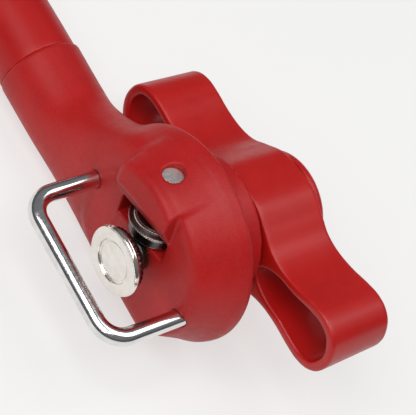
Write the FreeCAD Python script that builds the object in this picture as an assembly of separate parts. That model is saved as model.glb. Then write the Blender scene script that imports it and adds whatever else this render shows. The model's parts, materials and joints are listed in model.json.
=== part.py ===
import FreeCAD, Part
import math
import os

os.makedirs("parts", exist_ok=True)

# Manual side-cutting can opener, millimetres.
# Working frame while modelling: X along the drive shaft towards the chrome disc, Y along the handle
# towards the head, Z up, origin where the shaft leaves the flat front face of the head.
# On export everything moves by SHIFT, so the origin is the bottom centre of the bounding box.

# ---- driving dimensions ----
HEAD_R = 24.6            # largest radius of the head drum
FACE_R = 17.3            # flat part of the front face
FACE_FILLET = 3.3        # rounding between the face and the sloping wall
HEAD_CENTRE = (-1.5, -0.5)   # drum centre in Y, Z
RIM_X = -11.6            # where the sloping wall reaches full radius
SHOULDER_X = -12.8       # where the drum steps down to its rear hub
SHOULDER_ROUND = 0.7
HEAD_BACK = -21.9        # rear face of the head
COVER_FRONT = -20.4      # inner face of the back cover
HUB_R = 16.5             # rear hub radius
FLOOR_Z = -20.4          # straight underside that the opener lies on
BELLY_R = 8.6            # rounding of the underside across the head's depth
TOE_R = 8.0              # rounding where the underside meets the drum's tip
REAR_FLOOR_Z = -16.4     # flat underside of the rear hub
CAVITY_R = 15.0
CAVITY_FLOOR_Z = -14.3
FRONT_WALL = 4.0

SHAFT_R = 2.5
BUSH_R = 3.2
RUN = 0.06               # radial running clearance
TRAVEL = 1.2             # how far the shaft moves out when the clamp is released
CAM_TURN = 80.0          # degrees of cam ring rotation for that travel

GRIP_R = 9.6
GRIP_AXIS = (-9.2, -10.8)    # handle axis in X, Z
SEAM_Y = -54.0           # joint line between neck and grip
GRIP_END_Y = -146.0
HANDLE_END_Y = -160.0
CORE_R = 5.5
HANG_R = 2.75
HANG_Y = -151.5

TILT_H = 15.2            # cutter axle leans this much towards the handle, degrees
TILT_D = 3.8             # and this much towards the chrome disc
AXLE_TOP = (-3.6, -7.0, 20.35)
AXLE_R = 2.4
CUT_R = 7.0
ROLLER_R = 6.4
SLOT_FLOOR = 17.8        # depth of the slot's lower side below the axle's top

WIRE_R = 2.0
WIRE_OUT = 17.6          # crossbar centreline distance from the face
WIRE_Y = (-19.4, 16.5)
WIRE_Z = -0.4
WIRE_BEND = 5.5
WIRE_DEPTH = 9.0

DISC_R = 8.0
DISC_X = 7.1             # front of the chrome disc
FEED_R = 7.1
TEETH = 36

KNOB_NEAR, KNOB_FAR = -23.4, -40.7
KNOB_TURN = 9.9          # rest angle of the knob about the shaft, degrees
CAP_R = 12.6
CAP_X = -43.3
SHAFT_END = -34.7

SHIFT = FreeCAD.Vector(11.85, 59.975, 20.4)

V = FreeCAD.Vector
AX_X, AX_Y, AX_Z = V(1, 0, 0), V(0, 1, 0), V(0, 0, 1)
SCREW_POS = [(10.6, 1.6), (-12.0, 4.4), (0.9, -10.9)]     # cover screws in Y, Z


# ---- helpers ----
def export(name, shape):
    solid = shape.copy()
    solid.translate(SHIFT)
    solid.exportStep("parts/%s.step" % name)
    box = solid.BoundBox
    print("%-16s vol %9.1f  x %.2f %.2f  y %.2f %.2f  z %.2f %.2f  %s solids %d" % (
        name, solid.Volume, box.XMin, box.XMax, box.YMin, box.YMax, box.ZMin, box.ZMax,
        solid.isValid(), len(solid.Solids)))


def rod(x0, x1, r, y=0.0, z=0.0):
    """Cylinder along X between two stations."""
    return Part.makeCylinder(r, abs(x1 - x0), V(min(x0, x1), y, z), AX_X)


def tube(x0, x1, r_out, r_in, y=0.0, z=0.0):
    return rod(x0, x1, r_out, y, z).cut(rod(x0 - 1, x1 + 1, r_in, y, z)) if x0 < x1 else \
        tube(x1, x0, r_out, r_in, y, z)


def block(x0, x1, y0, y1, z0, z1):
    return Part.makeBox(x1 - x0, y1 - y0, z1 - z0, V(x0, y0, z0))


def turned(profile, centre=(0.0, 0.0)):
    """Solid of revolution about an X axis; profile is (x, radius) corners, closed by the axis."""
    pts = [V(x, centre[0], centre[1] + r) for x, r in profile]
    face = Part.Face(Part.makePolygon(pts + [pts[0]]))
    return face.revolve(V(0, centre[0], centre[1]), AX_X, 360)


def arc_profile(cx, cr, radius, a0, a1, steps=8):
    """Points of a rounding in an (x, radius) profile."""
    return [(cx + radius * math.cos(math.radians(a0 + (a1 - a0) * i / steps)),
             cr + radius * math.sin(math.radians(a0 + (a1 - a0) * i / steps))) for i in range(steps + 1)]


def largest(shape):
    return max(shape.Solids, key=lambda s: s.Volume)


# ---- frame of the leaning cutter axle ----
AXLE_DIR = V(math.tan(math.radians(TILT_D)), -math.tan(math.radians(TILT_H)), 1).normalize()
SLOT_DIR = AXLE_DIR.cross(AX_X).normalize()          # along the slot, towards the head's tip
OUT_DIR = SLOT_DIR.cross(AXLE_DIR).normalize()       # out of the face
AXLE_TOP_V = V(*AXLE_TOP)


def on_axle(depth, along=0.0, out=0.0):
    """Point at a depth below the axle's top end, offset along the slot and out of the face."""
    return AXLE_TOP_V - AXLE_DIR * depth + SLOT_DIR * along + OUT_DIR * out


def axle_rod(k0, k1, r):
    return Part.makeCylinder(r, k1 - k0, on_axle(k1), AXLE_DIR)


def axle_box(k0, k1, a0, a1, o0, o1):
    """Box aligned with the axle: depth k, along the slot a, outwards o."""
    base = Part.Face(Part.makePolygon([on_axle(k0, a0, o0), on_axle(k0, a1, o0), on_axle(k0, a1, o1),
                                       on_axle(k0, a0, o1), on_axle(k0, a0, o0)]))
    return base.extrude(AXLE_DIR * (k0 - k1))


def axle_turned(profile):
    """Revolved about the axle; profile is (depth, radius)."""
    pts = [on_axle(k) + OUT_DIR * r for k, r in profile]
    return Part.Face(Part.makePolygon(pts + [pts[0]])).revolve(AXLE_TOP_V, AXLE_DIR, 360)


# ---- head shell ----
def drum():
    wall_r = FACE_R + FACE_FILLET
    profile = [(0.0, 0.0), (0.0, FACE_R)]
    profile += arc_profile(-FACE_FILLET, FACE_R, FACE_FILLET, 0, 65)[1:]
    profile += [(-7.0, wall_r + 1.9), (-10.0, HEAD_R - 0.5), (RIM_X, HEAD_R),
                (SHOULDER_X + SHOULDER_ROUND, HEAD_R)]
    profile += arc_profile(SHOULDER_X + SHOULDER_ROUND, HEAD_R - SHOULDER_ROUND, SHOULDER_ROUND, 90, 180)[1:]
    profile += [(SHOULDER_X, HUB_R), (HEAD_BACK, HUB_R), (HEAD_BACK, 0.0)]
    return turned(profile, HEAD_CENTRE)


def underside_envelope():
    """Everything above the rounded straight underside, as a prism along Y."""
    zc = FLOOR_Z + BELLY_R
    q = BELLY_R * math.sqrt(0.5)
    rear_x = -BELLY_R - math.sqrt(BELLY_R ** 2 - (REAR_FLOOR_Z - zc) ** 2)
    mid = math.radians(250)
    edges = [Part.Arc(V(0, -60, zc), V(-BELLY_R + q, -60, zc - q), V(-BELLY_R, -60, FLOOR_Z)).toShape(),
             Part.Arc(V(-BELLY_R, -60, FLOOR_Z),
                      V(-BELLY_R + BELLY_R * math.cos(mid), -60, zc + BELLY_R * math.sin(mid)),
                      V(rear_x, -60, REAR_FLOOR_Z)).toShape()]
    corners = [V(rear_x, -60, REAR_FLOOR_Z), V(-30, -60, REAR_FLOOR_Z), V(-30, -60, 40), V(10, -60, 40),
               V(10, -60, zc), V(0, -60, zc)]
    edges += [Part.makeLine(a, b) for a, b in zip(corners, corners[1:])]
    return Part.Face(Part.Wire(Part.__sortEdges__(edges))).extrude(V(0, 120, 0))


def toe_envelope():
    """Side outline of the head: the drum circle rounded into the straight underside."""
    cy, cz = HEAD_CENTRE
    r = HEAD_R + 0.2
    tz = FLOOR_Z + TOE_R
    ty = cy + math.sqrt((r - TOE_R) ** 2 - (tz - cz) ** 2)
    k = r / (r - TOE_R)
    touch = V(-40, cy + (ty - cy) * k, cz + (tz - cz) * k)
    mid = math.atan2(touch.z - tz, touch.y - ty) / 2 - math.pi / 4
    edges = [Part.Arc(V(-40, ty, FLOOR_Z), V(-40, ty + TOE_R * math.cos(mid), tz + TOE_R * math.sin(mid)),
                      touch).toShape(),
             Part.Arc(touch, V(-40, cy + r, cz), V(-40, cy, cz + r)).toShape()]
    corners = [V(-40, cy, cz + r), V(-40, -60, cz + r), V(-40, -60, FLOOR_Z), V(-40, ty, FLOOR_Z)]
    edges += [Part.makeLine(a, b) for a, b in zip(corners, corners[1:])]
    return Part.Face(Part.Wire(Part.__sortEdges__(edges))).extrude(V(60, 0, 0))


def neck():
    """Lofted from the round grip end into the drum: station, top, bottom, front, back, squareness."""
    stations = [(SEAM_Y, -0.6, FLOOR_Z, 0.8, -19.2, 2.0), (-42.0, -0.3, FLOOR_Z, 0.6, -18.8, 2.05),
                (-36.0, 1.2, FLOOR_Z, 0.3, -17.8, 2.15), (-30.0, 5.0, FLOOR_Z, 0.0, -16.6, 2.3),
                (-25.0, 9.4, FLOOR_Z, -0.1, -15.2, 2.45), (-20.0, 14.0, FLOOR_Z, -0.2, -13.8, 2.6),
                (-12.0, 18.0, FLOOR_Z, -0.3, -12.7, 2.9)]
    wires = []
    for y, top, bottom, front, back, square in stations:
        xc, zc = (front + back) / 2, (top + bottom) / 2
        a, b = (front - back) / 2, (top - bottom) / 2
        pts = []
        for i in range(24):
            t = 2 * math.pi * i / 24
            c, s = math.cos(t), math.sin(t)
            pts.append(V(xc + a * math.copysign(abs(c) ** (2 / square), c), y,
                         zc + b * math.copysign(abs(s) ** (2 / square), s)))
        curve = Part.BSplineCurve()
        curve.interpolate(pts, PeriodicFlag=True)
        wires.append(Part.Wire(curve.toShape()))
    return Part.makeLoft(wires, True, False)


def brow():
    """Ledge over the cutter: the drum's wall carried forward past the face, its lower side sloping back."""
    out = 3.0
    profile = [(out, 0.0), (out, 18.3)] + arc_profile(out - 2.0, 18.3, 2.0, 0, 76)[1:]
    profile += [(-3.6, 21.5), (-9.0, 22.4), (-9.0, 0.0)]
    lower_out, lower_in = on_axle(7.2, 0, 6.6), on_axle(14.4, 0, 3.4)
    back = on_axle(14.4, 0, -4)
    side = [on_axle(-6, 0, 9), on_axle(7.2, 0, 9), lower_out, lower_in, back, on_axle(-6, 0, -4)]
    prism = Part.Face(Part.makePolygon(side + [side[0]])).extrude(SLOT_DIR * 18.7)
    prism.translate(SLOT_DIR * -10.3)
    return turned(profile, HEAD_CENTRE).common(prism)


def head_shell():
    outer = drum().common(underside_envelope()).common(toe_envelope()).fuse([neck(), brow()])
    cavity = rod(-FRONT_WALL, HEAD_BACK - 1, CAVITY_R, *HEAD_CENTRE)
    cavity = cavity.cut(block(-30, 0, -30, 30, -40, CAVITY_FLOOR_Z))
    shell = outer.cut(cavity)
    pads = [axle_box(0.3, SLOT_FLOOR + 1.0, -10.3, 9.3, -8.6, 1.5)]
    pads += [rod(-WIRE_DEPTH - 1.5, -3.0, 3.6, wy, WIRE_Z) for wy in WIRE_Y]
    pads += [rod(COVER_FRONT, -3.0, 2.0, sy, sz) for sy, sz in SCREW_POS]
    pads += [rod(-13.4, -3.0, 5.0)]
    clip = rod(COVER_FRONT, -2.0, CAVITY_R + 0.6, *HEAD_CENTRE)
    shell = shell.fuse([p.common(clip).common(drum()).common(underside_envelope()) for p in pads])
    pocket = axle_box(7.4, SLOT_FLOOR, -8.3, 7.9, -7.4, 3.45)
    mouth = axle_box(12.6, SLOT_FLOOR, -8.3, 7.9, 2.0, 9.0)
    cuts = [pocket, mouth, axle_rod(-5, 7.6, AXLE_R), rod(1, -14, BUSH_R)]
    cuts += [rod(1, -WIRE_DEPTH, WIRE_R, wy, WIRE_Z) for wy in WIRE_Y]
    cuts += [rod(-30, -14, 1.2, sy, sz) for sy, sz in SCREW_POS]
    cuts += [Part.makeCylinder(CORE_R, 25, V(GRIP_AXIS[0], SEAM_Y - 5, GRIP_AXIS[1]), AX_Y)]
    return largest(shell.cut(cuts).removeSplitter())


def back_cover():
    y, z = HEAD_CENTRE
    cover = rod(HEAD_BACK, COVER_FRONT, CAVITY_R, y, z).cut(block(-30, 0, -30, 30, -40, CAVITY_FLOOR_Z))
    cover = cover.cut([rod(-30, -10, 4.2)] + [rod(-30, -10, 1.5, sy, sz) for sy, sz in SCREW_POS])
    return cover.cut([rod(HEAD_BACK - 1, HEAD_BACK + 0.9, 2.2, sy, sz) for sy, sz in SCREW_POS])


def cover_screws():
    return Part.makeCompound([rod(HEAD_BACK + 0.1, HEAD_BACK + 0.9, 2.1, sy, sz).fuse(
        rod(HEAD_BACK + 0.5, -14.2, 1.2, sy, sz)).removeSplitter() for sy, sz in SCREW_POS])


# ---- handle ----
def handle_core():
    body = Part.makeCylinder(CORE_R, GRIP_END_Y * -1 - 30, V(GRIP_AXIS[0], GRIP_END_Y, GRIP_AXIS[1]), AX_Y)
    return body


def grip_profile(pairs):
    gx, gz = GRIP_AXIS
    pts = [V(gx, y, gz + r) for y, r in pairs]
    return Part.Face(Part.makePolygon(pts + [pts[0]])).revolve(V(gx, 0, gz), AX_Y, 360)


def grip_sleeve():
    pairs = [(SEAM_Y, CORE_R), (SEAM_Y, GRIP_R - 0.4), (SEAM_Y - 0.4, GRIP_R)]
    for i in range(1, 12):
        t = i / 12.0
        pairs.append((SEAM_Y + (GRIP_END_Y - SEAM_Y) * t, GRIP_R - 0.7 * math.sin(math.pi * t) ** 2))
    pairs += [(GRIP_END_Y, GRIP_R), (GRIP_END_Y, CORE_R)]
    return grip_profile(pairs)


def end_cap():
    pairs = [(GRIP_END_Y, 0.0), (GRIP_END_Y, GRIP_R)]
    round_r = 4.2
    for i in range(9):
        a = math.radians(90.0 * i / 8)
        pairs.append((HANDLE_END_Y + round_r - round_r * math.sin(a), GRIP_R - round_r + round_r * math.cos(a)))
    pairs.append((HANDLE_END_Y, 0.0))
    cap = grip_profile(pairs)
    return cap.cut(rod(-40, 20, HANG_R, HANG_Y, GRIP_AXIS[1]))


# ---- wire guide ----
def wire_guide():
    y0, y1 = WIRE_Y
    b = WIRE_BEND
    q = b * (1 - math.sqrt(0.5))
    z, x0 = WIRE_Z, -WIRE_DEPTH
    path = [Part.makeLine(V(x0, y0, z), V(WIRE_OUT - b, y0, z)),
            Part.Arc(V(WIRE_OUT - b, y0, z), V(WIRE_OUT - q, y0 + q, z), V(WIRE_OUT, y0 + b, z)).toShape(),
            Part.makeLine(V(WIRE_OUT, y0 + b, z), V(WIRE_OUT, y1 - b, z)),
            Part.Arc(V(WIRE_OUT, y1 - b, z), V(WIRE_OUT - q, y1 - q, z), V(WIRE_OUT - b, y1, z)).toShape(),
            Part.makeLine(V(WIRE_OUT - b, y1, z), V(x0, y1, z))]
    start = Part.Wire(Part.makeCircle(WIRE_R, V(x0, y0, z), AX_X))
    return Part.Wire(path).makePipeShell([start], True, True)


# ---- cutter group ----
def cutting_wheel():
    bore = AXLE_R + RUN
    profile = [(8.1, bore), (8.1, 3.25), (12.95, 3.25), (12.95, 5.8), (13.3, 6.0), (13.7, CUT_R),
               (13.8, CUT_R), (14.2, 5.9), (14.2, bore)]
    return axle_turned(profile)


def support_roller():
    bore = AXLE_R + RUN
    return axle_turned([(14.4, bore), (14.4, 5.7), (14.8, ROLLER_R - 0.1), (16.9, ROLLER_R), (17.2, 6.1),
                        (17.2, bore)])


def ring_on_axle(k0, k1, r):
    return axle_rod(k0, k1, r).cut(axle_rod(k0 - 1, k1 + 1, AXLE_R))


# ---- clamp mechanism ----
PLATE_FRONT, PLATE_BACK = -13.6, -14.7      # cam ring plate, behind the cutter pocket
RAMP_LOW = 0.45
RAMP_TOP = PLATE_BACK - RAMP_LOW - TRAVEL
PAD_HALF = 8.0           # half width of a follower pad, degrees
PAD_ANGLES = (0.0, 180.0)
FLANGE_FRONT, FLANGE_BACK = -17.9, -18.9
SLEEVE_FRONT, SLEEVE_BACK = -16.95, -19.2
RAMP_IN, RAMP_OUT = 5.4, 7.8


def front_bush():
    return rod(-0.2, -14.6, BUSH_R).cut(rod(1, -20, SHAFT_R + RUN))


def rear_bush():
    return rod(-20.2, HEAD_BACK, 4.2).cut(rod(-19, -25, SHAFT_R + RUN))


def sector(x0, x1, r_in, r_out, a0, a1):
    """Ring sector about the shaft, angles about +X measured from +Y."""
    ring = Part.makeCylinder(r_out, x1 - x0, V(x0, 0, 0), AX_X, a1 - a0).cut(
        Part.makeCylinder(r_in, x1 - x0 + 2, V(x0 - 1, 0, 0), AX_X, 360))
    ring.rotate(V(0, 0, 0), AX_X, a0)
    return ring


def cam_ring():
    """Plate with two falling ramps, each cut as fine steps that stay below the true helix."""
    body = rod(PLATE_FRONT, PLATE_BACK, RAMP_OUT + 0.4)
    step = 5.0
    parts = []
    for start in PAD_ANGLES:
        for i in range(int((CAM_TURN + 2 * PAD_HALF) / step) + 1):
            high = start + PAD_HALF - i * step
            drop = min(1.0, (i + 1) * step / CAM_TURN) * TRAVEL
            parts.append(sector(RAMP_TOP + drop, PLATE_BACK, RAMP_IN, RAMP_OUT, high - step, high))
    return body.fuse(parts).cut(rod(0, -20, BUSH_R + RUN)).removeSplitter()


def carrier_sleeve():
    body = rod(SLEEVE_FRONT, SLEEVE_BACK, 4.5).fuse(rod(FLANGE_FRONT, FLANGE_BACK, RAMP_OUT + 0.4))
    pads = [sector(FLANGE_FRONT - 0.2, RAMP_TOP - 0.05, RAMP_IN + 0.1, RAMP_OUT - 0.1,
                   a - PAD_HALF + 0.5, a + PAD_HALF - 0.5) for a in PAD_ANGLES]
    return body.fuse(pads).cut(rod(0, -30, SHAFT_R + RUN)).removeSplitter()


def return_spring():
    """Low compression spring between the carrier flange and the back cover."""
    wire_r, coil_r = 0.3, 6.6
    x0, x1 = COVER_FRONT + wire_r + 0.02, FLANGE_BACK - wire_r - 0.02
    helix = Part.makeHelix(x1 - x0, x1 - x0, coil_r)
    start = Part.Wire(Part.makeCircle(wire_r, V(coil_r, 0, 0), V(0, 1, 0)))
    coil = Part.Wire(helix).makePipeShell([start], True, True)
    coil.rotate(V(0, 0, 0), AX_Y, 90)
    coil.translate(V(x0, 0, 0))
    return coil


# ---- drive group ----
CLIP_FRONT, CLIP_BACK = -19.25, -19.9


def drive_shaft():
    shaft = rod(DISC_X - 0.7, SHAFT_END, SHAFT_R).fuse(rod(-16.2, SLEEVE_FRONT + 0.05, 3.6))
    shaft = shaft.cut(tube(CLIP_FRONT, CLIP_BACK, 3.0, 2.1)).cut(rod(SHAFT_END + 6, SHAFT_END - 1, 1.5))
    return shaft.removeSplitter()


def shaft_clip():
    return tube(CLIP_FRONT, CLIP_BACK, 4.0, 2.1).cut(block(-21, -18, -1.6, 1.6, 0, 6))


def feed_wheel():
    back, front = DISC_X - 3.1, DISC_X - 1.7
    blank = rod(back, front, FEED_R)
    notch = []
    for i in range(TEETH):
        a = 2 * math.pi * i / TEETH
        half = math.pi / TEETH * 0.55
        tip, root = FEED_R + 0.3, FEED_R - 0.45
        pts = [V(back - 1, root * math.cos(a), root * math.sin(a)),
               V(back - 1, tip * math.cos(a - half), tip * math.sin(a - half)),
               V(back - 1, tip * math.cos(a + half), tip * math.sin(a + half))]
        notch.append(Part.Face(Part.makePolygon(pts + [pts[0]])).extrude(V(4, 0, 0)))
    return blank.cut(notch).cut(rod(0, 9, SHAFT_R))


def feed_hub():
    """Spacer that holds the feed wheel off the bush."""
    return tube(0.3, DISC_X - 3.1, 3.6, SHAFT_R)


def cap_disc():
    f = DISC_X
    profile = [(f - 1.7, 2.5), (f - 1.7, 7.6), (f - 1.3, DISC_R), (f - 0.7, DISC_R), (f - 0.2, 7.6), (f, 7.0),
               (f, 4.9), (f - 0.4, 4.6), (f - 0.7, 4.2), (f - 0.7, 2.5)]
    return turned(profile)


def disc_rivet():
    """Riveted end of the shaft that closes the middle of the disc."""
    return rod(DISC_X - 0.7, DISC_X - 0.3, 3.9)


def blend(pts):
    curve = Part.BSplineCurve()
    curve.interpolate(pts, PeriodicFlag=True)
    return curve


def knob_point(x, u, v):
    a = math.radians(KNOB_TURN)
    return V(x, u * math.cos(a) - v * math.sin(a), u * math.sin(a) + v * math.cos(a))


KNOB_HALF = [(0.0, 13.2), (6.0, 12.6), (11.0, 9.8), (15.0, 7.4), (19.5, 6.5), (24.5, 6.8), (29.0, 7.7),
             (33.0, 8.1), (36.6, 7.2), (39.3, 4.6), (40.5, 0.0)]


def knob():
    upper = KNOB_HALF
    loop = upper[:-1] + [(40.5, 0.0)] + [(u, -v) for u, v in reversed(upper[:-1])]
    other = [(-u, -v) for u, v in upper[1:-1]] + [(-40.5, 0.0)] + [(-u, v) for u, v in reversed(upper[1:-1])]
    outline = [knob_point(KNOB_FAR, u, v) for u, v in loop + other]
    body = Part.Face(Part.Wire(blend(outline).toShape())).extrude(V(KNOB_NEAR - KNOB_FAR, 0, 0))
    holes = []
    for side in (1, -1):
        inner = [(13.5, 0.0), (15.5, 2.6), (19.5, 4.1), (24.5, 4.5), (29.0, 5.4), (33.0, 5.8), (36.0, 4.8),
                 (37.6, 2.6), (38.2, 0.0)]
        ring = inner + [(u, -v) for u, v in reversed(inner[1:-1])]
        pts = [knob_point(KNOB_FAR - 1, side * u, v) for u, v in ring]
        holes.append(Part.Face(Part.Wire(blend(pts).toShape())).extrude(V(20, 0, 0)))
    holes.append(rod(-20, SHAFT_END, SHAFT_R))
    holes.append(rod(SHAFT_END, -50, 4.2))
    return largest(body.cut(holes))


def knob_screw():
    return rod(SHAFT_END, SHAFT_END - 2.4, 3.6).fuse(rod(SHAFT_END + 5.5, SHAFT_END, 1.5)).removeSplitter()


def knob_cap():
    disc = turned([(CAP_X, 0.0), (CAP_X, CAP_R - 1.2), (CAP_X + 0.5, CAP_R - 0.4), (CAP_X + 1.2, CAP_R),
                   (KNOB_FAR, CAP_R), (KNOB_FAR, 0.0)])
    return disc.fuse(rod(KNOB_FAR, SHAFT_END - 3.0, 4.2)).removeSplitter()


NODES = {
    "head_shell": head_shell, "back_cover": back_cover, "cover_screws": cover_screws,
    "handle_core": handle_core, "grip_sleeve": grip_sleeve, "end_cap": end_cap,
    "wire_guide": wire_guide,
    "cutter_axle": lambda: axle_rod(0.8, SLOT_FLOOR, AXLE_R),
    "upper_washer": lambda: ring_on_axle(7.4, 8.05, 3.3),
    "lower_washer": lambda: ring_on_axle(17.3, SLOT_FLOOR, 4.4),
    "cutting_wheel": cutting_wheel, "support_roller": support_roller,
    "front_bush": front_bush, "rear_bush": rear_bush,
    "cam_ring": cam_ring, "carrier_sleeve": carrier_sleeve, "return_spring": return_spring,
    "drive_shaft": drive_shaft, "shaft_clip": shaft_clip, "feed_wheel": feed_wheel, "feed_hub": feed_hub,
    "cap_disc": cap_disc, "disc_rivet": disc_rivet,
    "knob": knob, "knob_screw": knob_screw, "knob_cap": knob_cap,
}

whole = FreeCAD.BoundBox()
for node, make in NODES.items():
    solid = make()
    whole.add(solid.BoundBox)
    export(node, solid)
print("box", whole)
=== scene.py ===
import json
import math

import bmesh
import bpy
import numpy as np
from mathutils import Matrix, Vector


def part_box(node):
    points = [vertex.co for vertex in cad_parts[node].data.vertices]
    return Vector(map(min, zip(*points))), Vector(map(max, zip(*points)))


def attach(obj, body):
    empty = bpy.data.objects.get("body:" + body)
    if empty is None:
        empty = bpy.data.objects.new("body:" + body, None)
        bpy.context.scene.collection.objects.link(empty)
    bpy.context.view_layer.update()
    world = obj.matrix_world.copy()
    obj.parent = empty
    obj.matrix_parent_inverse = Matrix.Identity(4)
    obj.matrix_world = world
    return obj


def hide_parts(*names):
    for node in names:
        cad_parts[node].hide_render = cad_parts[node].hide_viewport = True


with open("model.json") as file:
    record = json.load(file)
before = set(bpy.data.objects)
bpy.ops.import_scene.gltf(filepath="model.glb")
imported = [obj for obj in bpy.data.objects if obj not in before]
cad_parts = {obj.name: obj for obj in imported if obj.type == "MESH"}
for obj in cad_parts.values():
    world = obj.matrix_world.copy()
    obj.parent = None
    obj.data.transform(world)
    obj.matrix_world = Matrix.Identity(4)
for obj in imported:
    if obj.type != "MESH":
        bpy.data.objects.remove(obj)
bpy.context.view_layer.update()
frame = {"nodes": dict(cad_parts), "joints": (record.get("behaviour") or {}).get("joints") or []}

JOINTS = {j["name"]: j for j in frame["joints"]}

# Shapes are made in millimetres in the head's own frame: X along the drive shaft towards the nickel disc,
# Y along the handle towards the head, Z up, origin where the shaft leaves the flat front face.
DISC_FRONT = 7.1
_low, _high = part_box("cap_disc")
ORIGIN = np.array([_high.x * 1000 - DISC_FRONT, (_low.y + _high.y) * 500, (_low.z + _high.z) * 500])

FLOOR_Z = -ORIGIN[2]
HEAD_CENTRE = (-1.5, -0.5)
HEAD_R, HUB_R = 24.6, 16.5
FACE_R, FACE_FILLET = 17.3, 3.3
SHOULDER_X, SHOULDER_ROUND, HEAD_BACK, COVER_FRONT = -12.8, 0.6, -21.9, -20.4
CAVITY_R, CAVITY_FLOOR_Z = 15.0, -14.3
BELLY_R, TOE_R, REAR_FLOOR_Z = 8.6, 8.0, -16.4
SHAFT_R, BUSH_R, AXLE_R = 2.5, 3.2, 2.4
SLOT_FLOOR = 17.8
# Depths are down the leaning axle from its top, and LOW and HIGH are along the slot, LOW towards the handle:
# the pocket for the wheels, the mouth cut in front of it and the block that backs both.
POCKET_TOP, POCKET_BACK, POCKET_FRONT = 7.4, -7.4, 3.45
MOUTH_TOP, MOUTH_BACK, MOUTH_FRONT = 12.6, 2.0, 9.0
SLOT_LOW, SLOT_HIGH = -8.3, 7.9
BLOCK_LOW, BLOCK_HIGH, BLOCK_BACK, BLOCK_FRONT = -10.3, 9.3, -8.6, 1.5
# The ledge: its front face in X, its ends along the slot, then the depths of its lower edge and its root.
LEDGE_FRONT, LEDGE_TILT, LEDGE_START, LEDGE_END = 3.0, 0.13, -10.3, 8.4
LEDGE_EDGE, LEDGE_ROOT, LEDGE_EDGE_OUT, LEDGE_INNER = 7.2, 14.4, 7.07, 4.0
LEDGE_CREST, LEDGE_CREST_X, LEDGE_FALL, LEDGE_DIP = 21.5, -3.6, 0.231, 0.65
LEDGE_UNDER = (0.495, 0.869)         # which way its underside faces: down the axle, outwards
SEAM_Y, GRIP_END_Y, HANDLE_END_Y = -54.0, -146.0, -160.0
GRIP_R, CORE_R = 9.6, 5.5
GRIP_X, GRIP_Z = -9.2, -10.8
GRIP_WAIST = 0.7             # how much thinner the grip is halfway along
HANG_R, HANG_Y = 2.75, -151.5
WIRE_R, WIRE_OUT, WIRE_BEND, WIRE_DEPTH, WIRE_Z = 2.0, 17.6, 5.5, 9.0, -0.4
WIRE_Y = (-19.4, 16.5)
SCREW_POS = [(10.6, 1.6), (-12.0, 4.4), (0.9, -10.9)]
SCREW_HOLE_R, SCREW_PAD_R, SCREW_SEAT_R, SCREW_SEAT_DEPTH = 1.2, 2.0, 2.2, 0.9
COVER_BORE_R, COVER_GAP = 4.2, 0.05
KNOB_NEAR, KNOB_FAR, KNOB_TURN = -23.4, -40.7, math.radians(9.9)
KNOB_DRAFT, SCREW_BORE_R = 0.5, 4.2
CAP_R, CAP_X, SHAFT_END = 12.6, -43.3, -34.7

AXLE = np.array(JOINTS["cutter_spin"]["axis"])
AXLE_TOP = np.array(JOINTS["cutter_spin"]["pos_m"]) * 1000 - ORIGIN + AXLE * 12.0
ALONG = np.cross(AXLE, (1, 0, 0))
ALONG /= np.linalg.norm(ALONG)
OUT = np.cross(ALONG, AXLE)


def to_world(points):
    return (np.asarray(points, float) + ORIGIN) / 1000


# ---------------------------------------------------------------- distance fields
def outline_smooth(points, closed=True, steps=12):
    """Catmull-Rom curve through the points."""
    pts = [np.array(p, float) for p in points]
    n = len(pts)
    out = []
    for i in range(n if closed else n - 1):
        if closed:
            a, b, c, d = (pts[(i + k - 1) % n] for k in range(4))
        else:
            a, b, c, d = pts[max(i - 1, 0)], pts[i], pts[i + 1], pts[min(i + 2, n - 1)]
        for s in range(steps):
            t = s / steps
            out.append(0.5 * (2 * b + (c - a) * t + (2 * a - 5 * b + 4 * c - d) * t * t
                              + (3 * b - a - 3 * c + d) * t ** 3))
    if not closed:
        out.append(pts[-1])
    return out


def arc(cx, cy, r, a0, a1, steps=16):
    return [(cx + r * math.cos(math.radians(a0 + (a1 - a0) * i / steps)),
             cy + r * math.sin(math.radians(a0 + (a1 - a0) * i / steps))) for i in range(steps + 1)]


class Outline:
    """Signed distance to a closed outline, tabulated once and read back bilinearly."""

    def __init__(self, points, step=0.1, margin=5.0):
        pts = np.array([tuple(p) for p in points], float)
        self.low, self.step = pts.min(0) - margin, step
        nx, ny = (np.ceil((pts.max(0) + margin - self.low) / step).astype(int) + 1)
        gx, gy = np.meshgrid(self.low[0] + step * np.arange(nx), self.low[1] + step * np.arange(ny),
                             indexing="ij")
        best = np.full(gx.shape, 1e9)
        inside = np.zeros(gx.shape, bool)
        for (ax, ay), (bx, by) in zip(pts, np.roll(pts, -1, 0)):
            ex, ey = bx - ax, by - ay
            length = ex * ex + ey * ey
            if length < 1e-12:
                continue
            wx, wy = gx - ax, gy - ay
            t = np.clip((wx * ex + wy * ey) / length, 0, 1)
            best = np.minimum(best, (wx - t * ex) ** 2 + (wy - t * ey) ** 2)
            if ay != by:
                crosses = ((ay > gy) != (by > gy)) & (gx < ex * (gy - ay) / ey + ax)
                inside ^= crosses
        self.table = np.where(inside, -1, 1) * np.sqrt(best)

    def __call__(self, x, y):
        nx, ny = self.table.shape
        u, v = (x - self.low[0]) / self.step, (y - self.low[1]) / self.step
        cu, cv = np.clip(u, 0, nx - 1.001), np.clip(v, 0, ny - 1.001)
        i, j = cu.astype(int), cv.astype(int)
        fu, fv = cu - i, cv - j
        t = self.table
        inner = (t[i, j] * (1 - fu) * (1 - fv) + t[i + 1, j] * fu * (1 - fv)
                 + t[i, j + 1] * (1 - fu) * fv + t[i + 1, j + 1] * fu * fv)
        return inner + np.hypot(u - cu, v - cv) * self.step


def both(a, b, r=0.0):
    """Intersection whose outside edge is rounded by r."""
    if r <= 0:
        return np.maximum(a, b)
    return np.minimum(np.maximum(a, b), -r) + np.hypot(np.maximum(a + r, 0), np.maximum(b + r, 0))


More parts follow.
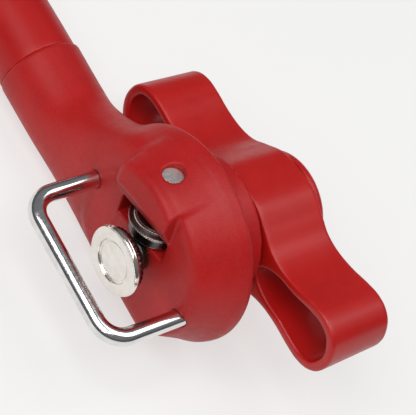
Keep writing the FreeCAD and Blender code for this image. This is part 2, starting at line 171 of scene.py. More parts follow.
def either(a, b, r=0.0):
    """Union whose inside corner is filled by r."""
    if np.isscalar(r) and r <= 0:
        return np.minimum(a, b)
    return np.maximum(np.minimum(a, b), r) - np.hypot(np.maximum(r - a, 0), np.maximum(r - b, 0))


def slab(value, low, high):
    return np.maximum(low - value, value - high)


def rod_x(x, y, z, x0, x1, r, cy=0.0, cz=0.0):
    return np.maximum(np.hypot(y - cy, z - cz) - r, slab(x, min(x0, x1), max(x0, x1)))


def skin(field, low, high, step):
    """Mesh on a field's zero surface: one vertex per crossed cell, then drawn onto the surface itself."""
    low, high = np.array(low, float), np.array(high, float)
    count = np.ceil((high - low) / step).astype(int) + 1
    axis = [low[i] + step * np.arange(count[i]) for i in range(3)]
    gy, gz = np.meshgrid(axis[1], axis[2], indexing="ij")
    grid = np.stack([field(np.full(gy.shape, x), gy, gz) for x in axis[0]]).astype(np.float32)
    inside = grid < 0
    corners = [(a, b, c) for a in (0, 1) for b in (0, 1) for c in (0, 1)]
    part = [slice(0, -1), slice(1, None)]
    total = sum(inside[part[a], part[b], part[c]].astype(np.int8) for a, b, c in corners)
    cells = np.argwhere((total > 0) & (total < 8))
    value = np.stack([grid[cells[:, 0] + a, cells[:, 1] + b, cells[:, 2] + c] for a, b, c in corners], 1)
    spot = np.zeros((len(cells), 3))
    hits = np.zeros((len(cells), 1))
    for p in range(8):
        for q in range(p + 1, 8):
            if sum(abs(s - t) for s, t in zip(corners[p], corners[q])) != 1:
                continue
            va, vb = value[:, p], value[:, q]
            crossed = (va < 0) != (vb < 0)
            t = np.where(crossed, va / np.where(crossed, va - vb, 1), 0)[:, None]
            a, b = np.array(corners[p], float), np.array(corners[q], float)
            spot += np.where(crossed[:, None], a + t * (b - a), 0)
            hits += crossed[:, None]
    verts = low + (cells + spot / hits) * step
    number = np.full(total.shape, -1, np.int64)
    number[tuple(cells.T)] = np.arange(len(cells))
    faces = []
    for ax in range(3):
        b, c = (ax + 1) % 3, (ax + 2) % 3
        first, second = [slice(None)] * 3, [slice(None)] * 3
        first[ax], second[ax] = slice(0, -1), slice(1, None)
        for s in (first, second):
            s[b], s[c] = slice(1, -1), slice(1, -1)
        now, then = inside[tuple(first)], inside[tuple(second)]
        at = np.argwhere(now != then)
        at[:, b] += 1
        at[:, c] += 1
        starts_inside = inside[tuple(at.T)]
        around = []
        for db, dc in ((0, 0), (-1, 0), (-1, -1), (0, -1)):
            cell = at.copy()
            cell[:, b] += db
            cell[:, c] += dc
            around.append(number[tuple(cell.T)])
        quads = np.stack(around, 1)
        quads[~starts_inside] = quads[~starts_inside][:, ::-1]
        faces.append(quads)
    faces = np.concatenate(faces)
    reach = 0.6 * step
    for _ in range(4):
        here = field(*verts.T)
        slope = np.stack([(field(*(verts + d).T) - field(*(verts - d).T)) / 0.04
                          for d in np.eye(3) * 0.02], 1)
        size = np.maximum((slope ** 2).sum(1), 0.2)
        move = -slope * (here / size)[:, None]
        far = np.linalg.norm(move, axis=1, keepdims=True)
        verts = verts + move * np.minimum(1, reach / np.maximum(far, 1e-9))
    return verts, faces


# ---------------------------------------------------------------- meshes
def add_mesh(name, verts, faces, body, material, nodes=()):
    mesh = bpy.data.meshes.new(name)
    mesh.from_pydata(to_world(verts).tolist(), [], [list(map(int, f)) for f in faces])
    mesh.polygons.foreach_set("use_smooth", [True] * len(mesh.polygons))
    mesh.update()
    obj = bpy.data.objects.new(name, mesh)
    bpy.context.scene.collection.objects.link(obj)
    mesh.materials.append(material)
    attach(obj, body)
    if nodes:
        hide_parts(*nodes)
    return obj


def stacked(rings, wrap=False):
    """Quads between successive rings of points; single points at either end close it."""
    verts, faces, starts = [], [], []
    for ring in rings:
        starts.append((len(verts), len(ring)))
        verts.extend(np.asarray(p, float) for p in ring)
    pairs = list(zip(starts, starts[1:])) + ([(starts[-1], starts[0])] if wrap else [])
    for (s0, n0), (s1, n1) in pairs:
        n = max(n0, n1)
        for i in range(n):
            j = (i + 1) % n
            if n0 == 1:
                faces.append((s0, s1 + j, s1 + i))
            elif n1 == 1:
                faces.append((s0 + i, s0 + j, s1))
            else:
                faces.append((s0 + i, s0 + j, s1 + j, s1 + i))
    return np.array(verts), faces


def softened(profile, radius=0.12, steps=4, closed=False):
    """Rounds a profile's corners and adds a support point beside each rounding."""
    pts = [np.array(p[:2], float) for p in profile]
    radii = [p[2] if len(p) > 2 else radius for p in profile]
    n = len(pts)
    out = []
    for i, p in enumerate(pts):
        if not closed and i in (0, n - 1):
            out.append(p)
            continue
        a, b = pts[i - 1] - p, pts[(i + 1) % n] - p
        la, lb = np.linalg.norm(a), np.linalg.norm(b)
        if la < 1e-6 or lb < 1e-6 or radii[i] <= 0:
            out.append(p)
            continue
        r = min(radii[i], la * 0.42, lb * 0.42)
        a, b = a / la, b / lb
        out.append(p + a * r * 1.15)
        for s in range(steps + 1):
            t = s / steps
            out.append(p + a * r * (1 - t) ** 2 + b * r * t ** 2)
        out.append(p + b * r * 1.15)
    return out


def turned(profile, centre, axis, side, closed=False, steps=128):
    """Rings of a (distance along axis, radius) profile about the axis."""
    axis, side = np.array(axis, float), np.array(side, float)
    other = np.cross(axis, side)
    rings = []
    for t, r in profile:
        base = np.array(centre, float) + axis * t
        if r < 1e-6:
            rings.append([base])
        else:
            rings.append([base + side * r * math.cos(a) + other * r * math.sin(a)
                          for a in np.linspace(0, 2 * math.pi, steps, endpoint=False)])
    return stacked(rings, wrap=closed)


def fix_normals(obj):
    """Turns every face outwards."""
    bm = bmesh.new()
    bm.from_mesh(obj.data)
    bmesh.ops.recalc_face_normals(bm, faces=bm.faces)
    bm.to_mesh(obj.data)
    bm.free()
    return obj


# ---------------------------------------------------------------- materials
class Nodes:
    """A Principled material with short helpers for its node tree."""

    def __init__(self, name, **sockets):
        self.material = bpy.data.materials.new(name)
        self.material.use_nodes = True
        self.tree = self.material.node_tree
        self.shader = self.tree.nodes["Principled BSDF"]
        for key, value in sockets.items():
            self.shader.inputs[key.replace("_", " ")].default_value = value
        self.where = self.add("ShaderNodeTexCoord").outputs["Object"]

    def add(self, kind, **values):
        node = self.tree.nodes.new(kind)
        for key, value in values.items():
            setattr(node, key, value)
        return node

    def link(self, a, b):
        self.tree.links.new(a, b)

    def noise(self, per_mm, detail=2.0, stretch=(1, 1, 1), rough=0.5, distortion=0.0):
        scale = self.add("ShaderNodeMapping")
        scale.inputs["Scale"].default_value = [1000 * per_mm * s for s in stretch]
        self.link(self.where, scale.inputs["Vector"])
        noise = self.add("ShaderNodeTexNoise")
        noise.inputs["Scale"].default_value = 1.0
        noise.inputs["Detail"].default_value = detail
        noise.inputs["Roughness"].default_value = rough
        noise.inputs["Distortion"].default_value = distortion
        self.link(scale.outputs["Vector"], noise.inputs["Vector"])
        return noise.outputs["Fac"]

    def ramp(self, source, low, high, at=(0.35, 0.65)):
        ramp = self.add("ShaderNodeValToRGB")
        ramp.color_ramp.elements[0].position, ramp.color_ramp.elements[1].position = at
        ramp.color_ramp.elements[0].color, ramp.color_ramp.elements[1].color = (*low, 1), (*high, 1)
        self.link(source, ramp.inputs["Fac"])
        return ramp.outputs["Color"]

    def spread(self, source, low, high):
        span = self.add("ShaderNodeMapRange")
        span.inputs["From Min"].default_value, span.inputs["From Max"].default_value = 0.3, 0.7
        span.inputs["To Min"].default_value, span.inputs["To Max"].default_value = low, high
        self.link(source, span.inputs["Value"])
        return span.outputs["Result"]

    def blend(self, factor, a, b):
        mix = self.add("ShaderNodeMix", data_type="RGBA")
        for value, socket in ((factor, mix.inputs[0]), (a, mix.inputs[6]), (b, mix.inputs[7])):
            if isinstance(value, bpy.types.NodeSocket):
                self.link(value, socket)
            elif isinstance(value, (int, float)):
                socket.default_value = value
            else:
                socket.default_value = (*value, 1)
        return mix.outputs[2]

    def bump(self, height, strength, depth_mm, under=None):
        bump = self.add("ShaderNodeBump")
        bump.inputs["Strength"].default_value = strength
        bump.inputs["Distance"].default_value = depth_mm / 1000
        self.link(height, bump.inputs["Height"])
        if under is not None:
            self.link(under, bump.inputs["Normal"])
        return bump.outputs["Normal"]

    def colour(self, socket):
        self.link(socket, self.shader.inputs["Base Color"])

    def roughness(self, socket):
        self.link(socket, self.shader.inputs["Roughness"])

    def normal(self, socket):
        self.link(socket, self.shader.inputs["Normal"])


def edge_mask(n, low, high):
    """1 along convex edges, from the mesh's own curvature."""
    point = n.add("ShaderNodeNewGeometry").outputs["Pointiness"]
    span = n.add("ShaderNodeMapRange")
    span.inputs["From Min"].default_value, span.inputs["From Max"].default_value = low, high
    n.link(point, span.inputs["Value"])
    return span.outputs["Result"]


def plastic(name, deep, pale, rough, grain_mm, grain, edge=None, specks=0.0, **sockets):
    """Moulded plastic: slow colour drift, flow streaks and fine grain; if asked, specks, and convex edges
    painted a brighter colour as a painted highlight.
    """
    n = Nodes(name, IOR=1.5, **sockets)
    tint = n.ramp(n.noise(0.05, 3.0, distortion=0.6), deep, pale)
    streak = n.noise(0.35, 4.0, stretch=(1.0, 0.25, 1.0))
    tint = n.blend(n.spread(streak, 0.0, 0.16), tint, [min(1.0, c * 1.25 + 0.004) for c in pale])
    if specks:
        grains = n.spread(n.noise(specks, 2.0, rough=0.7), -0.1, 0.30)
        tint = n.blend(grains, tint, [min(1.0, c * 1.35 + 0.02) for c in pale])
    if edge:
        # Convex edges painted brighter: a painted highlight where the edges catch the light.
        tint = n.blend(edge_mask(n, 0.515, 0.56), tint, edge)
    n.colour(tint)
    n.roughness(n.spread(n.noise(0.6, 3.0), rough - 0.05, rough + 0.06))
    wave = n.bump(n.noise(0.09, 2.0), 0.25, 0.12)
    n.normal(n.bump(n.noise(1.0 / grain_mm, 2.0), grain, 0.03, wave))
    return n


def metal(name, dark, light, rough, brush=(1, 1, 1), scratch=0.15, edge=None, per_mm=0.4):
    """Metal with brushed roughness, faint handling marks and brighter convex edges."""
    n = Nodes(name, Metallic=1.0)
    tint = n.ramp(n.noise(per_mm, 4.0, stretch=brush), dark, light)
    if edge:
        tint = n.blend(edge_mask(n, 0.52, 0.58), tint, edge)
    n.colour(tint)
    n.roughness(n.spread(n.noise(per_mm * 3, 4.0, stretch=brush), max(rough - 0.05, 0.03), rough + 0.08))
    n.normal(n.bump(n.noise(per_mm * 8, 2.0, stretch=brush), scratch, 0.01))
    return n


HEAD_RED = plastic("head_red", (0.35, 0.0040, 0.0045), (0.42, 0.0065, 0.0065), 0.46, 0.32, 0.5,
                   specks=2.6, Specular_IOR_Level=0.32)
# The grip's edge colour is a painted highlight along its convex rims.
GRIP_RED = plastic("grip_red", (0.38, 0.0045, 0.0045), (0.44, 0.0065, 0.0060), 0.42, 0.5, 0.15,
                   edge=(0.52, 0.015, 0.012), Specular_IOR_Level=0.32)
KNOB_RED = plastic("knob_red", (0.41, 0.0050, 0.0040), (0.46, 0.0070, 0.0055), 0.38, 0.6, 0.10,
                   Specular_IOR_Level=0.45)
INNER = plastic("inner_plastic", (0.03, 0.03, 0.033), (0.045, 0.045, 0.05), 0.55, 0.4, 0.3)
POLISHED = metal("polished_steel", (0.70, 0.69, 0.68), (0.82, 0.81, 0.80), 0.13, brush=(0.2, 1, 1),
                 scratch=0.05)
NICKEL = metal("nickel", (0.80, 0.76, 0.70), (0.88, 0.85, 0.80), 0.14, scratch=0.06)
DARK_STEEL = metal("dark_steel", (0.085, 0.075, 0.07), (0.13, 0.12, 0.11), 0.30, brush=(0.3, 0.3, 5),
                   scratch=0.08)
# Bright steel for the chamfer bands of the cutter and roller: a painted highlight.
GLINT_STEEL = metal("chamfer_glint", (0.62, 0.59, 0.56), (0.75, 0.73, 0.70), 0.25, scratch=0.05)
PLAIN_STEEL = metal("plain_steel", (0.66, 0.65, 0.63), (0.78, 0.77, 0.75), 0.5, scratch=0.25,
                    edge=(0.85, 0.85, 0.84))
SPRING_STEEL = metal("spring_steel", (0.36, 0.36, 0.37), (0.48, 0.48, 0.49), 0.3)
BRONZE = metal("bronze", (0.42, 0.24, 0.09), (0.52, 0.32, 0.13), 0.42, scratch=0.4)


# ---------------------------------------------------------------- head shell
def drum_outline():
    wall = arc(-FACE_FILLET, FACE_R, FACE_FILLET, 0, 65)
    dome = outline_smooth([wall[-1], (-7.0, 22.5), (-10.0, 24.1), (-11.6, HEAD_R),
                           (SHOULDER_X + SHOULDER_ROUND, HEAD_R)],
                          closed=False, steps=10)[1:]
    rear = arc(SHOULDER_X + SHOULDER_ROUND, HEAD_R - SHOULDER_ROUND, SHOULDER_ROUND, 90, 180)[1:]
    rear += [(SHOULDER_X, HUB_R), (HEAD_BACK, HUB_R)]
    half = [(0.0, FACE_R)] + wall[1:] + [tuple(p) for p in dome] + rear
    return half + [(x, -r) for x, r in reversed(half)]


def belly_outline():
    zc = FLOOR_Z + BELLY_R
    rear = math.degrees(math.asin((REAR_FLOOR_Z - zc) / BELLY_R))
    curve = arc(-BELLY_R, zc, BELLY_R, 0, -90) + arc(-BELLY_R, zc, BELLY_R, -90, -180 - rear)[1:]
    return [(0, 40)] + curve + [(-30, REAR_FLOOR_Z), (-30, 40)]


def toe_outline():
    cy, cz = HEAD_CENTRE
    r = HEAD_R + 0.2
    tz = FLOOR_Z + TOE_R
    ty = cy + math.sqrt((r - TOE_R) ** 2 - (tz - cz) ** 2)
    meet = math.degrees(math.atan2(tz - cz, ty - cy))
    curve = arc(ty, tz, TOE_R, -90, meet) + arc(cy, cz, r, meet, 90, 40)[1:]
    return [(-60, FLOOR_Z)] + curve + [(-60, cz + r)]


DRUM, BELLY, TOE = Outline(drum_outline()), Outline(belly_outline()), Outline(toe_outline())

NECK = np.array(outline_smooth(     # station, top, bottom, front, back, squareness
    [(SEAM_Y - 4, -0.7, FLOOR_Z, 0.9, -19.3, 2.0), (SEAM_Y, -0.6, FLOOR_Z, 0.8, -19.2, 2.0),
     (-42.0, -0.3, FLOOR_Z, 0.6, -18.8, 2.05), (-36.0, 1.2, FLOOR_Z, 0.3, -17.8, 2.15),
     (-30.0, 5.0, FLOOR_Z, 0.0, -16.6, 2.3), (-25.0, 9.4, FLOOR_Z, -0.1, -15.2, 2.45),
     (-20.0, 14.0, FLOOR_Z, -0.2, -13.8, 2.6), (-12.0, 18.0, FLOOR_Z, -0.3, -12.7, 2.9),
     (-6.0, 19.0, FLOOR_Z, -0.4, -12.7, 2.9)], closed=False))


def neck_field(x, y, z):
    top, bottom, front, back, square = (np.interp(y, NECK[:, 0], NECK[:, i]) for i in range(1, 6))
    u, v = x - (front + back) / 2, z - (top + bottom) / 2
    a, b = (front - back) / 2, (top - bottom) / 2
    q = (np.abs(u / a) ** square + np.abs(v / b) ** square + 1e-9) ** (1 / square)
    radial = np.hypot(u, v) * (1 - 1 / np.maximum(q, 0.15))
    return both(both(radial, SEAM_Y - y, 0.7), y + 10.0)


def axle_frame(x, y, z):
    dx, dy, dz = x - AXLE_TOP[0], y - AXLE_TOP[1], z - AXLE_TOP[2]
    return (-(dx * AXLE[0] + dy * AXLE[1] + dz * AXLE[2]), dx * ALONG[0] + dy * ALONG[1] + dz * ALONG[2],
            dx * OUT[0] + dy * OUT[1] + dz * OUT[2])


def ledge_field(x, k, along, out, radius):
    """The ledge over the wheels; 0.992 and 0.974 turn a tilted face's value into a distance."""
    front = (x - LEDGE_FRONT + LEDGE_TILT * np.maximum(LEDGE_EDGE - k, 0)) * 0.992
    plan = both(front, LEDGE_START - along, 2.4)
    crest = LEDGE_CREST - LEDGE_DIP * np.clip((along + 6.0) / (LEDGE_END + 6.0), 0, 1)
    top = (radius - (crest - (x - LEDGE_CREST_X) * LEDGE_FALL)) * 0.974
    ledge = both(plan, top, 1.3)
    ledge = both(ledge, LEDGE_UNDER[0] * (k - LEDGE_EDGE) + LEDGE_UNDER[1] * (out - LEDGE_EDGE_OUT), 0.3)
    ledge = both(ledge, along - LEDGE_END, 0.35)
    return both(both(ledge, k - LEDGE_ROOT, 0.3), -LEDGE_INNER - out)


def head_field(x, y, z):
    cy, cz = HEAD_CENTRE
    radius = np.hypot(y - cy, z - cz)
    k, along, out = axle_frame(x, y, z)
    drum = both(both(DRUM(x, radius), BELLY(x, z), 0.8), TOE(y, z), 0.8)
    outer = either(drum, neck_field(x, y, z), 1.0)
    fillet = 0.5 + np.interp(k, [2.0, 6.0], [1.3, 0.0])     # the ledge blends softly only near its top
    outer = either(outer, ledge_field(x, k, along, out, radius), fillet)
    outer = both(outer, FLOOR_Z - z, 0.3)
    cavity = both(rod_x(x, y, z, -4.0, -30, CAVITY_R, cy, cz), CAVITY_FLOOR_Z - z, 0.5)
    pads = both(both(slab(k, 0.3, SLOT_FLOOR + 1.0), slab(along, BLOCK_LOW, BLOCK_HIGH)),
                slab(out, BLOCK_BACK, BLOCK_FRONT))
    pads = either(pads, rod_x(x, y, z, -3, -13.4, 5.0))
    for wy in WIRE_Y:
        pads = either(pads, rod_x(x, y, z, -3, -WIRE_DEPTH - 1.5, 3.6, wy, WIRE_Z))
    for sy, sz in SCREW_POS:
        pads = either(pads, rod_x(x, y, z, -3, COVER_FRONT, SCREW_PAD_R, sy, sz))
    shell = both(outer, -both(cavity, -pads, 0.3), 0.4)
    slot = slab(along, SLOT_LOW, SLOT_HIGH)
    pocket = both(both(slab(k, POCKET_TOP, SLOT_FLOOR), slot, 0.3), slab(out, POCKET_BACK, POCKET_FRONT))
    mouth = both(both(slab(k, MOUTH_TOP, SLOT_FLOOR), slot, 0.3), slab(out, MOUTH_BACK, MOUTH_FRONT))
    shell = both(shell, -either(pocket, mouth), 0.3)
    pin = np.maximum(np.hypot(along, out) - AXLE_R - 0.03, k - 7.6)
    shell = both(shell, -pin, 0.3)
    shell = both(shell, -rod_x(x, y, z, 2, -15, BUSH_R))
    for wy in WIRE_Y:
        shell = both(shell, -rod_x(x, y, z, 2, -WIRE_DEPTH, WIRE_R + 0.02, wy, WIRE_Z), 0.25)
    for sy, sz in SCREW_POS:
        shell = both(shell, -rod_x(x, y, z, -30, -14, SCREW_HOLE_R, sy, sz))
    core = np.maximum(np.hypot(x - GRIP_X, z - GRIP_Z) - CORE_R, slab(y, SEAM_Y - 5, SEAM_Y + 20))
    return both(shell, -core)


FINE = 0.4
verts, faces = skin(head_field, (HEAD_BACK - 1, SEAM_Y - 1, FLOOR_Z - 1), (4.2, 24.4, 25.4), FINE)
add_mesh("head_moulding", verts, faces, "head", HEAD_RED.material, ["head_shell"])


# ---------------------------------------------------------------- handle
def grip():
    n = 48
    body = [(SEAM_Y + (GRIP_END_Y - SEAM_Y) * i / n,
             GRIP_R - GRIP_WAIST * math.sin(math.pi * i / n) ** 2) for i in range(1, n)]
    rim = 0.55
    start = arc(SEAM_Y - rim, GRIP_R - rim, rim, 0, 90, 6)
    end = arc(GRIP_END_Y + 0.3, GRIP_R - 0.3, 0.3, 90, 180, 4)
    profile = [(SEAM_Y, CORE_R), (SEAM_Y, GRIP_R - 1.2)] + start + body + end + [(GRIP_END_Y, CORE_R)]
    verts, faces = turned(profile, (GRIP_X, 0, GRIP_Z), (0, 1, 0), (0, 0, 1), closed=True)
    return fix_normals(add_mesh("grip_tube", verts, faces, "head", GRIP_RED.material,
                                ["grip_sleeve"]))


def end_cap_field(x, y, z):
    radial = np.hypot(x - GRIP_X, z - GRIP_Z) - GRIP_R
    cap = both(both(radial, HANDLE_END_Y - y, 4.2), y - GRIP_END_Y, 0.3)
    hole = np.hypot(y - HANG_Y, z - GRIP_Z) - HANG_R
    return both(cap, -hole, 0.9)


grip()
verts, faces = skin(end_cap_field, (GRIP_X - GRIP_R - 1, HANDLE_END_Y - 1, GRIP_Z - GRIP_R - 1),
                    (GRIP_X + GRIP_R + 1, GRIP_END_Y + 1, GRIP_Z + GRIP_R + 1), 0.4)
add_mesh("handle_cap", verts, faces, "head", GRIP_RED.material, ["end_cap"])


# ---------------------------------------------------------------- wire guide
def upright_ring(centre, side, r, steps=40):
    return [centre + side * r * math.cos(t) + np.array([0, 0, r * math.sin(t)])
            for t in np.linspace(0, 2 * math.pi, steps, endpoint=False)]


def wire():
    y0, y1 = WIRE_Y
    b = WIRE_BEND
    path = [((x, y0), (1, 0)) for x in np.linspace(-WIRE_DEPTH, WIRE_OUT - b, 14)]
    for a in np.linspace(0, 90, 15)[1:]:
        c, s = math.cos(math.radians(a)), math.sin(math.radians(a))
        path.append(((WIRE_OUT - b + b * s, y0 + b - b * c), (c, s)))
    path += [((WIRE_OUT, y), (0, 1)) for y in np.linspace(y0 + b, y1 - b, 14)[1:]]
    for a in np.linspace(0, 90, 15)[1:]:
        c, s = math.cos(math.radians(a)), math.sin(math.radians(a))
        path.append(((WIRE_OUT - b + b * c, y1 - b + b * s), (-s, c)))
    path += [((x, y1), (-1, 0)) for x in np.linspace(WIRE_OUT - b, -WIRE_DEPTH, 14)[1:]]
    end_round = 0.3
    rings = [[(*path[0][0], WIRE_Z)]]
    last = len(path) - 1
    for i, ((x, y), (dx, dy)) in enumerate(path):
        side, centre = np.array([-dy, dx, 0.0]), np.array([x, y, WIRE_Z])
        inward = np.array([dx, dy, 0.0]) * (-end_round if i == last else end_round)
        if i in (0, last):
            ends = [upright_ring(centre, side, WIRE_R - end_round),
                    upright_ring(centre + inward, side, WIRE_R)]
            rings += ends if i == 0 else ends[::-1]
        else:
            rings.append(upright_ring(centre, side, WIRE_R))
    rings.append([(*path[-1][0], WIRE_Z)])
    verts, faces = stacked(rings)
    return fix_normals(add_mesh("guide_wire", verts, faces, "head", POLISHED.material,
                                ["wire_guide"]))


wire()

# ---------------------------------------------------------------- cutter group
DOWN = -AXLE


def on_axle_piece(name, profile, body, material, node, closed=True, radius=0.1):
    verts, faces = turned(softened(profile, radius, closed=closed), AXLE_TOP, DOWN, OUT, closed=closed)
    return fix_normals(add_mesh(name, verts, faces, body, material, [node]))


def glint_bands(obj, bands):
    """Gives the chamfer bands, stated as (depth from, depth to, least radius), a bright steel that paints in
    their highlight lines.
    """
    obj.data.materials.append(GLINT_STEEL.material)
    for face in obj.data.polygons:
        d = np.array(face.center) * 1000 - ORIGIN - AXLE_TOP
        k = float(d @ DOWN)
        r = float(np.linalg.norm(d - DOWN * k))
        if any(k0 <= k <= k1 and r >= least for k0, k1, least in bands):
            face.material_index = 1


BORE = AXLE_R + 0.06
# Profiles are (depth, radius, corner rounding where it isn't the usual one).
WHEEL = [(8.1, BORE), (8.1, 3.2), (12.7, 3.2), (12.7, 5.3, 0.1), (12.95, 5.4, 0.05), (12.95, 5.75, 0.05),
         (13.15, 5.85, 0.06), (13.3, 5.95, 0.05), (13.62, 6.8, 0.03), (13.68, 6.98, 0.03),
         (13.82, 6.98, 0.03), (14.2, 5.85), (14.2, BORE)]
ROLLER = [(14.4, BORE), (14.4, 5.7), (14.7, 6.3, 0.06), (14.85, 6.36, 0.05), (16.8, 6.38, 0.06),
          (16.98, 6.30, 0.05), (17.15, 6.0), (17.15, BORE)]
PIN = [(0.8, 0.0), (0.8, AXLE_R, 0.18), (SLOT_FLOOR, AXLE_R, 0.1), (SLOT_FLOOR, 0.0)]

cutter = on_axle_piece("cutter_disc", WHEEL, "cutter", DARK_STEEL.material, "cutting_wheel")
# Painted highlight lines on the cutter's and roller's chamfers.
glint_bands(cutter, [(12.9, 13.12, 5.5), (13.6, 13.9, 6.7)])
roller = on_axle_piece("rim_roller", ROLLER, "roller", DARK_STEEL.material, "support_roller")
glint_bands(roller, [(14.66, 14.9, 6.1), (16.76, 17.0, 6.2)])
on_axle_piece("cutter_pin", PIN, "head", PLAIN_STEEL.material, "cutter_axle", closed=False)


# ---------------------------------------------------------------- disc and feed wheel
def on_shaft_piece(name, profile, body, material, node, closed=True, radius=0.1):
    verts, faces = turned(softened(profile, radius, closed=closed), (0, 0, 0), (1, 0, 0), (0, 0, 1),
                          closed=closed)
    return fix_normals(add_mesh(name, verts, faces, body, material, [node]))


F, RECESS = DISC_FRONT, DISC_FRONT - 0.7     # the disc's front and the floor of its recess
DISC = [(F - 1.7, SHAFT_R), (F - 1.7, 7.5, 0.1), (F - 1.45, 7.9, 0.25), (F - 1.0, 7.98, 0.12),
        (F - 0.92, 7.9, 0.04), (F - 0.84, 7.98, 0.12), (F - 0.1, 7.75, 0.6), (F, 6.9, 0.5),
        (F, 5.1, 0.2), (F - 0.68, 4.95, 0.2), (RECESS, 4.1, 0.1), (RECESS, SHAFT_R)]
CENTRE = [(RECESS, 0.0), (RECESS, 4.5, 0.1), (F - 0.5, 4.42, 0.12), (F - 0.5, 0.0)]
on_shaft_piece("nickel_disc", DISC, "drive", NICKEL.material, "cap_disc", radius=0.15)
on_shaft_piece("disc_centre", CENTRE, "drive", NICKEL.material, "disc_rivet", closed=False)


def feed_wheel(teeth=36, tip=7.1, root=6.85, back=4.0, front=5.4):
    shape = []
    for i in range(teeth):
        a = 2 * math.pi * i / teeth
        for da, r in ((-0.5, root), (-0.32, root + 0.12), (-0.14, tip - 0.08), (0, tip), (0.14, tip - 0.08),
                      (0.32, root + 0.12)):
            shape.append((a + da * 2 * math.pi / teeth, r))
    rings = []
    for x, inset in ((back, 0.2), (back + 0.06, 0.08), (back + 0.2, 0), (front - 0.2, 0),
                     (front - 0.06, 0.08), (front, 0.2)):
        rings.append([(x, (r - inset) * math.cos(a), (r - inset) * math.sin(a)) for a, r in shape])
    for x in (front, back):
        rings.append([(x, SHAFT_R * math.cos(a), SHAFT_R * math.sin(a)) for a, _ in shape])
    verts, faces = stacked(rings, wrap=True)
    return fix_normals(add_mesh("tooth_wheel", verts, faces, "drive", DARK_STEEL.material,
                                ["feed_wheel"]))


feed_wheel()
HUB = [(0.3, SHAFT_R), (0.3, 3.55), (1.4, 3.55), (1.6, 3.35), (1.8, 3.55), (4.0, 3.55), (4.0, SHAFT_R)]
on_shaft_piece("hub_spacer", HUB, "drive", DARK_STEEL.material, "feed_hub")

# ---------------------------------------------------------------- knob
KNOB_HALF = [(0.0, 13.2), (6.0, 12.6), (11.0, 9.8), (15.0, 7.4), (19.5, 6.5), (24.5, 6.8), (29.0, 7.7),
             (33.0, 8.1), (36.6, 7.2), (39.3, 4.6), (40.5, 0.0)]
LOOP = [(13.5, 0.0), (15.5, 2.6), (19.5, 4.1), (24.5, 4.5), (29.0, 5.4), (33.0, 5.8), (36.0, 4.8),
        (37.6, 2.6), (38.2, 0.0)]


def knob_outline():
    right = KNOB_HALF + [(u, -v) for u, v in reversed(KNOB_HALF[1:-1])]
    left = [(-u, -v) for u, v in KNOB_HALF[:-1]] + [(-u, v) for u, v in reversed(KNOB_HALF[1:])]
    return outline_smooth(right + left)


WING = Outline(knob_outline())
HOLE = Outline(outline_smooth(LOOP + [(u, -v) for u, v in reversed(LOOP[1:-1])]))


def knob_field(x, u, v):
    draft = KNOB_DRAFT * (KNOB_NEAR - x) / (KNOB_NEAR - KNOB_FAR)
    wing = both(WING(u, v) + draft, slab(x, KNOB_FAR, KNOB_NEAR), 0.8)
    knob = both(wing, -(HOLE(np.abs(u), v) - draft), 0.7)
    knob = both(knob, -np.maximum(np.hypot(u, v) - SHAFT_R, SHAFT_END - x), 0.3)
    return both(knob, -np.maximum(np.hypot(u, v) - SCREW_BORE_R, x - SHAFT_END))


verts, faces = skin(knob_field, (KNOB_FAR - 1, -41.6, -14.2), (KNOB_NEAR + 1, 41.6, 14.2), FINE)
c, s = math.cos(KNOB_TURN), math.sin(KNOB_TURN)
verts = np.stack([verts[:, 0], verts[:, 1] * c - verts[:, 2] * s, verts[:, 1] * s + verts[:, 2] * c], 1)
add_mesh("turning_knob", verts, faces, "drive", KNOB_RED.material, ["knob"])
END = [(SHAFT_END - 3.0, 0.0), (SHAFT_END - 3.0, SCREW_BORE_R), (KNOB_FAR, SCREW_BORE_R, 0.05),
       (KNOB_FAR, CAP_R, 0.25), (CAP_X + 1.2, CAP_R, 0.6), (CAP_X, CAP_R - 1.2, 1.2), (CAP_X, 0.0)]
on_shaft_piece("knob_end", END, "drive", KNOB_RED.material, "knob_cap", closed=False)


# ---------------------------------------------------------------- back cover and screws
def cover_field(x, y, z):
    cy, cz = HEAD_CENTRE
    plate = both(np.hypot(y - cy, z - cz) - CAVITY_R + COVER_GAP, CAVITY_FLOOR_Z + COVER_GAP - z, 0.5)
    plate = both(plate, slab(x, HEAD_BACK, COVER_FRONT), 0.35)
    plate = both(plate, -(np.hypot(y, z) - COVER_BORE_R), 0.2)
    for sy, sz in SCREW_POS:
        d = np.hypot(y - sy, z - sz)
        plate = both(plate, -(d - 1.5))
        plate = both(plate, -np.maximum(d - SCREW_SEAT_R, x - HEAD_BACK - SCREW_SEAT_DEPTH), 0.2)
    return plate


verts, faces = skin(cover_field, (HEAD_BACK - 0.6, -17.4, -15.2), (COVER_FRONT + 0.6, 14.4, 15.4), 0.3)
add_mesh("rear_plate", verts, faces, "head", HEAD_RED.material, ["back_cover"])


def screw_field(x, y, z):
    r = np.hypot(y, z)
    head = both(both(r - 2.05, HEAD_BACK + 0.12 - x, 0.3), x - HEAD_BACK - SCREW_SEAT_DEPTH, 0.1)
    wide, long = 0.35, 1.25
    cross = np.minimum(np.maximum(np.abs(y) - wide, np.abs(z) - long),
                       np.maximum(np.abs(z) - wide, np.abs(y) - long))
    head = both(head, -np.maximum(cross, x - HEAD_BACK - 0.6), 0.08)
    thread = 0.08 * np.cos(2 * math.pi * x / 0.8 + np.arctan2(z, y))
    return either(head, np.maximum(r - 1.1 - thread, slab(x, HEAD_BACK + 0.5, -14.3)), 0.05)


screw_v, screw_f = skin(screw_field, (HEAD_BACK - 0.4, -2.9, -2.9), (-13.8, 2.9, 2.9), 0.2)
all_v = np.concatenate([screw_v + (0, sy, sz) for sy, sz in SCREW_POS])
all_f = np.concatenate([screw_f + i * len(screw_v) for i in range(len(SCREW_POS))])
add_mesh("plate_screws", all_v, all_f, "head", PLAIN_STEEL.material, ["cover_screws"])

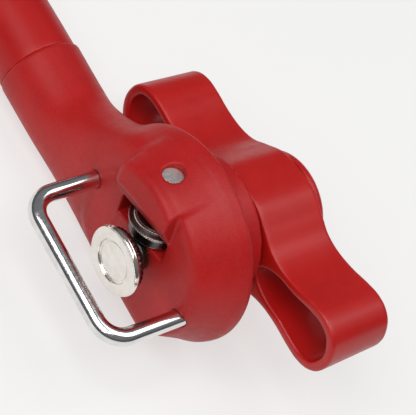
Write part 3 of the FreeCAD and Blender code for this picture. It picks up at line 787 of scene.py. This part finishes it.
# ---------------------------------------------------------------- pieces that keep their CAD shape
KEPT = {"handle_core": INNER, "upper_washer": PLAIN_STEEL, "lower_washer": PLAIN_STEEL, "front_bush": BRONZE,
        "rear_bush": BRONZE, "cam_ring": INNER, "carrier_sleeve": PLAIN_STEEL, "return_spring": SPRING_STEEL,
        "drive_shaft": PLAIN_STEEL, "shaft_clip": SPRING_STEEL, "knob_screw": PLAIN_STEEL}
for node, look in KEPT.items():
    for held in frame["nodes"][node].material_slots:
        held.material = look.material

# ---------------------------------------------------------------- floor, light and camera
floor_look = Nodes("table_top", Roughness=0.7, Specular_IOR_Level=0.2, Emission_Color=(1.0, 0.995, 0.985, 1),
                   Emission_Strength=0.62)
floor_look.colour(floor_look.ramp(floor_look.noise(0.004, 2.0), (0.27, 0.27, 0.27), (0.29, 0.29, 0.29)))
half = 3.0
floor_mesh = bpy.data.meshes.new("table_top")
floor_mesh.from_pydata([(-half, -half, 0), (half, -half, 0), (half, half, 0), (-half, half, 0)], [],
                       [(0, 1, 2, 3)])
floor = bpy.data.objects.new("table_top", floor_mesh)
bpy.context.scene.collection.objects.link(floor)
floor_mesh.materials.append(floor_look.material)

AIM = Vector(to_world((-13.9, -0.8, 11.0)))


def soft_box(name, direction, distance, width, height, power, colour=(1, 1, 1)):
    light = bpy.data.lights.new(name, "AREA")
    light.shape, light.size, light.size_y = "RECTANGLE", width, height
    light.energy, light.color = power, colour
    obj = bpy.data.objects.new(name, light)
    bpy.context.scene.collection.objects.link(obj)
    towards = Vector(direction).normalized()
    obj.location = AIM + towards * distance
    obj.rotation_mode = "QUATERNION"
    obj.rotation_quaternion = towards.to_track_quat("Z", "Y")


soft_box("key_light", (0.60, 0.08, 1.0), 1.2, 0.95, 0.95, 9.2, (1.0, 0.985, 0.965))
soft_box("top_light", (-0.40, 0.15, 1.0), 1.2, 0.8, 0.8, 5.5)
soft_box("strip_light", (0.45, -0.279, 0.85), 1.1, 0.12, 0.7, 1.5)

world = bpy.data.worlds.new("studio")
bpy.context.scene.world = world
world.use_nodes = True
sky, wires = world.node_tree.nodes, world.node_tree.links
heading, parts = sky.new("ShaderNodeTexCoord"), sky.new("ShaderNodeSeparateXYZ")
rise = sky.new("ShaderNodeValToRGB")
rise.color_ramp.elements[0].position, rise.color_ramp.elements[0].color = 0.05, (0.05, 0.05, 0.055, 1)
rise.color_ramp.elements[1].position, rise.color_ramp.elements[1].color = 0.60, (0.18, 0.185, 0.195, 1)
wires.new(heading.outputs["Generated"], parts.inputs["Vector"])
wires.new(parts.outputs["Z"], rise.inputs["Fac"])
wires.new(rise.outputs["Color"], sky["Background"].inputs["Color"])

bpy.context.scene.view_settings.view_transform = "Standard"

AZIMUTH, ELEVATION, ROLL = math.radians(115.42), math.radians(49.475), math.radians(39.61)
DISTANCE, FOCAL, SENSOR = 0.4063, 164.4, 36.0
back = Vector((math.sin(AZIMUTH) * math.cos(ELEVATION), -math.cos(AZIMUTH) * math.cos(ELEVATION),
               math.sin(ELEVATION)))
level = Vector((math.cos(AZIMUTH), math.sin(AZIMUTH), 0))
upright = back.cross(level)
right = level * math.cos(ROLL) + upright * math.sin(ROLL)
up = back.cross(right)
camera = bpy.data.cameras.new("camera")
camera.lens, camera.sensor_width = FOCAL, SENSOR
camera.clip_start, camera.clip_end = 0.01, 20
camera_obj = bpy.data.objects.new("camera", camera)
bpy.context.scene.collection.objects.link(camera_obj)
camera_obj.matrix_world = Matrix((
    (right.x, up.x, back.x, 0), (right.y, up.y, back.y, 0), (right.z, up.z, back.z, 0), (0, 0, 0, 1)))
camera_obj.matrix_world.translation = AIM + back * DISTANCE
bpy.context.scene.camera = camera_obj
